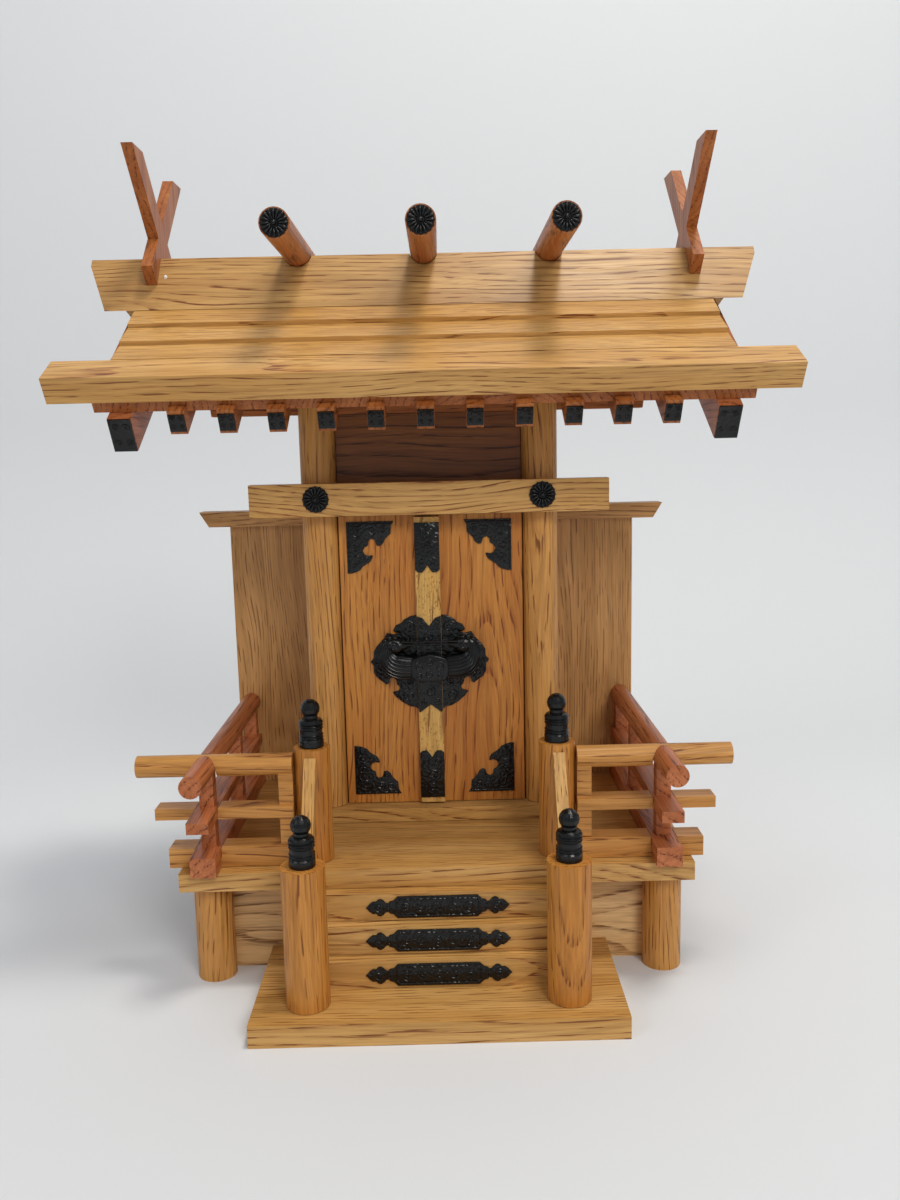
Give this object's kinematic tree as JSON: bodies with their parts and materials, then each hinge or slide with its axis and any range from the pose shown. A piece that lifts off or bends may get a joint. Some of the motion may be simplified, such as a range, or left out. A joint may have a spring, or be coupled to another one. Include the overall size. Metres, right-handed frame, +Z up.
{
  "type": "household shrine",
  "caption": "Household Shinto shrine with a gabled board roof, crossed roof finials, a pair of doors with a lock, and a railed deck with steps.",
  "frame": {"origin": "on the ground under the middle of the outline", "axes": "+Z up, the doors and steps face -Y, the ridge runs along X"},
  "size_m": [0.39, 0.257, 0.4619],
  "materials": {
    "zelkova": "oiled",
    "black_fittings": "satin black"
  },
  "bodies": {
    "shrine": {"step_board": "zelkova", "step_top": "zelkova", "step_middle": "zelkova", "step_low": "zelkova", "deck": "zelkova", "front_skirt": "zelkova", "front_leg_left": "zelkova", "front_leg_right": "zelkova", "back_leg_left": "zelkova", "back_leg_right": "zelkova", "front_newel_left": "zelkova", "front_newel_right": "zelkova", "rear_newel_left": "zelkova", "rear_newel_right": "zelkova", "front_newel_finial_left": "black_fittings", "front_newel_finial_right": "black_fittings", "rear_newel_finial_left": "black_fittings", "rear_newel_finial_right": "black_fittings", "stair_handrail_left": "zelkova", "stair_handrail_right": "zelkova", "front_railing_left": "zelkova", "front_railing_right": "zelkova", "side_railing_left": "zelkova", "side_railing_right": "zelkova", "body_floor": "zelkova", "front_purlin": "zelkova", "rear_purlin": "zelkova", "front_beam": "zelkova", "front_pillar_left": "zelkova", "front_pillar_right": "zelkova", "rear_pillar_left": "zelkova", "rear_pillar_right": "zelkova", "side_wall_left": "zelkova", "side_wall_right": "zelkova", "wing_panel_left": "zelkova", "wing_panel_right": "zelkova", "wing_cap_left": "zelkova", "wing_cap_right": "zelkova", "upper_front_wall": "zelkova", "back_wall": "zelkova", "front_roof_deck": "zelkova", "back_roof_deck": "zelkova", "front_fascia": "zelkova", "back_fascia": "zelkova", "front_roof_boards": "zelkova", "back_roof_boards": "zelkova", "front_ridge_board": "zelkova", "back_ridge_board": "zelkova", "ridge_log_left": "zelkova", "ridge_log_middle": "zelkova", "ridge_log_right": "zelkova", "barge_board_left": "zelkova", "barge_board_right": "zelkova", "forked_finial_left": "zelkova", "forked_finial_right": "zelkova"},
    "right_leaf": {"right_door": "zelkova", "door_strip": "zelkova", "shrimp_lock": "black_fittings"},
    "left_leaf": {"left_door": "zelkova"}
  },
  "joints": [
    {"name": "right_door_hinge", "type": "hinge", "parent": "shrine", "child": "right_leaf", "pos_m": [0.0549, 0.0088, 0.168], "axis": [0, 0, 1], "range_deg": [0, 80]},
    {"name": "left_door_hinge", "type": "hinge", "parent": "shrine", "child": "left_leaf", "pos_m": [-0.0549, 0.0088, 0.168], "axis": [0, 0, -1], "range_deg": [0, 80]}
  ],
  "couplings": [
    {"joint": "left_door_hinge", "follows": "right_door_hinge", "ratio": 1}
  ]
}
